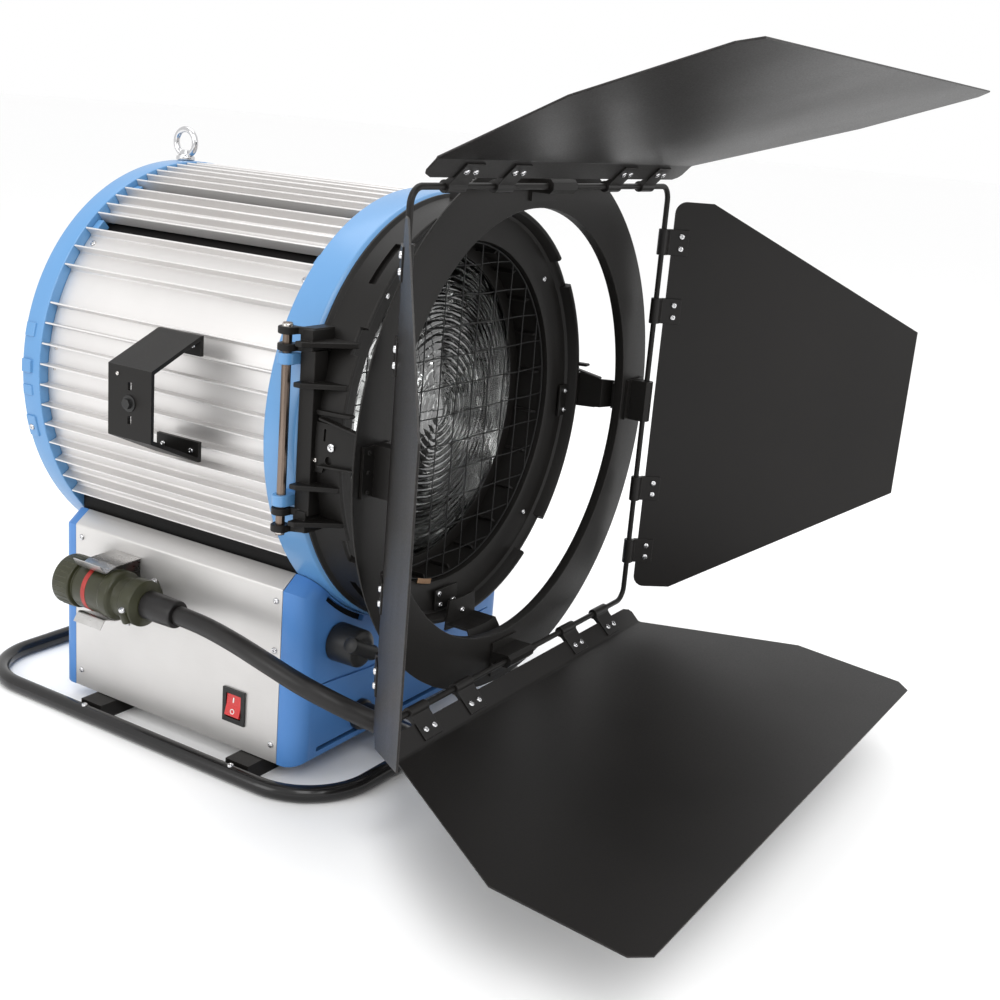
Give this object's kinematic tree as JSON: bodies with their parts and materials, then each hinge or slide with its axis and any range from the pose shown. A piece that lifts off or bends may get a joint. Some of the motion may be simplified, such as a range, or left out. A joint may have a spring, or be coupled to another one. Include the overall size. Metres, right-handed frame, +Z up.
{
  "type": "fresnel spotlight",
  "caption": "Round finned fresnel spotlight head with a hinged lens door, turning barn doors with folding leaves, a base with switch and tail cable, and a tubular skid.",
  "frame": {"origin": "centre of the base's underside, on the bottom plate", "axes": "+Z up, the beam leaves along -Y, +X to the right of someone looking along +Y into the lens"},
  "size_m": [0.86, 0.8516, 0.6706],
  "materials": {
    "blue_paint": "satin light blue enamel on castings",
    "silver_panel": "bright satin extruded aluminium",
    "base_sheet": "satin sheet",
    "black_liner": "matt black",
    "chrome": "polished",
    "zinc_steel": "zinc plated",
    "bright_steel": "ground bar",
    "guard_wire": "satin wire",
    "black_tube": "gloss black",
    "black_paint": "satin black",
    "leaf_paint": "matt black",
    "black_plastic": "moulded",
    "red_plastic": "moulded",
    "olive_shell": "moulded",
    "black_rubber": "satin",
    "lens_glass": "clear",
    "ceramic": null,
    "mirror": "polished"
  },
  "bodies": {
    "lamp_house": {"front_ring": "blue_paint", "rear_ring": "blue_paint", "rear_cover": "blue_paint", "left_fin_panel": "silver_panel", "right_fin_panel": "silver_panel", "left_shoulder_panel": "silver_panel", "right_shoulder_panel": "silver_panel", "top_fin_panel": "silver_panel", "inner_liner": "black_liner", "eyebolt": "chrome", "base_front": "blue_paint", "base_rear": "blue_paint", "base_panel_left": "base_sheet", "base_panel_right": "base_sheet", "base_plate": "base_sheet", "ignitor_box": "zinc_steel", "skid_tube": "black_tube", "skid_crossbar_front": "black_tube", "skid_crossbar_rear": "black_tube", "side_bracket_left": "black_paint", "side_bracket_right": "black_paint", "carriage_rail_left": "bright_steel", "carriage_rail_right": "bright_steel", "rail_support_front": "zinc_steel", "rail_support_rear": "zinc_steel", "switch_bezel": "black_plastic", "parking_clip": "zinc_steel", "cable_connector": "olive_shell", "cable_boot": "black_rubber", "tail_cable": "black_rubber", "cable_gland": "black_rubber", "hinge_rod": "bright_steel"},
    "lens_door": {"lens_door": "black_paint", "fresnel_lens": "lens_glass", "lens_retainer": "zinc_steel", "wire_guard": "guard_wire", "left_ear": "black_paint", "right_ear": "black_paint", "bottom_ear": "black_paint", "catch_mount": "black_paint", "catch_pin": "bright_steel"},
    "top_catch": {"top_catch": "black_paint"},
    "door_screw": {"door_screw": "black_plastic"},
    "barn_doors": {"barn_door_ring": "black_paint", "barn_door_frame": "black_paint", "frame_bracket_top": "black_paint", "frame_bracket_bottom": "black_paint", "frame_bracket_left": "black_paint", "frame_bracket_right": "black_paint"},
    "top_leaf": {"top_leaf": "leaf_paint"},
    "bottom_leaf": {"bottom_leaf": "leaf_paint"},
    "left_leaf": {"left_leaf": "leaf_paint"},
    "right_leaf": {"right_leaf": "leaf_paint"},
    "focus_knob": {"focus_knob": "black_plastic", "focus_spindle": "bright_steel"},
    "lamp_carriage": {"lamp_carriage": "zinc_steel", "lamp_holder": "ceramic", "lamp": "lens_glass", "reflector": "mirror"},
    "rocker_switch": {"rocker_switch": "red_plastic"}
  },
  "joints": [
    {"name": "door_hinge", "type": "hinge", "parent": "lamp_house", "child": "lens_door", "pos_m": [-0.214, -0.172, 0.321], "axis": [0, 0, -1], "range_deg": [0, 90]},
    {"name": "catch_hinge", "type": "hinge", "parent": "lens_door", "child": "top_catch", "pos_m": [0, -0.1925, 0.5352], "axis": [-1, 0, 0], "range_deg": [0, 35], "stiffness_Nm_per_rad": 0.6, "springref_deg": -8.59},
    {"name": "screw_turn", "type": "hinge", "parent": "lens_door", "child": "door_screw", "pos_m": [0.213, -0.221, 0.321], "axis": [0, 1, 0], "range_deg": [0, 90]},
    {"name": "barn_door_turn", "type": "hinge", "parent": "lens_door", "child": "barn_doors", "pos_m": [0, -0.273, 0.321], "axis": [0, 1, 0], "continuous": true},
    {"name": "top_leaf_hinge", "type": "hinge", "parent": "barn_doors", "child": "top_leaf", "pos_m": [0, -0.29, 0.541], "axis": [-1, 0, 0], "range_deg": [-49, 70]},
    {"name": "bottom_leaf_hinge", "type": "hinge", "parent": "barn_doors", "child": "bottom_leaf", "pos_m": [0, -0.29, 0.101], "axis": [1, 0, 0], "range_deg": [-34.5, 60]},
    {"name": "left_leaf_hinge", "type": "hinge", "parent": "barn_doors", "child": "left_leaf", "pos_m": [-0.22, -0.29, 0.321], "axis": [0, 0, -1], "range_deg": [-97, 59]},
    {"name": "right_leaf_hinge", "type": "hinge", "parent": "barn_doors", "child": "right_leaf", "pos_m": [0.22, -0.29, 0.321], "axis": [0, 0, 1], "range_deg": [-86.6, 69.4]},
    {"name": "focus_turn", "type": "hinge", "parent": "lamp_house", "child": "focus_knob", "pos_m": [-0.12, -0.166, 0.116], "axis": [0, 1, 0], "range_deg": [-720, 720]},
    {"name": "carriage_slide", "type": "slide", "parent": "lamp_house", "child": "lamp_carriage", "axis": [0, 1, 0], "range_m": [-0.05, 0.05]},
    {"name": "switch_rock", "type": "hinge", "parent": "lamp_house", "child": "rocker_switch", "pos_m": [-0.167, -0.088, 0.0425], "axis": [0, -1, 0], "range_deg": [0, 20]}
  ],
  "couplings": [
    {"joint": "focus_turn", "follows": "carriage_slide", "rad_per_m": 250}
  ]
}
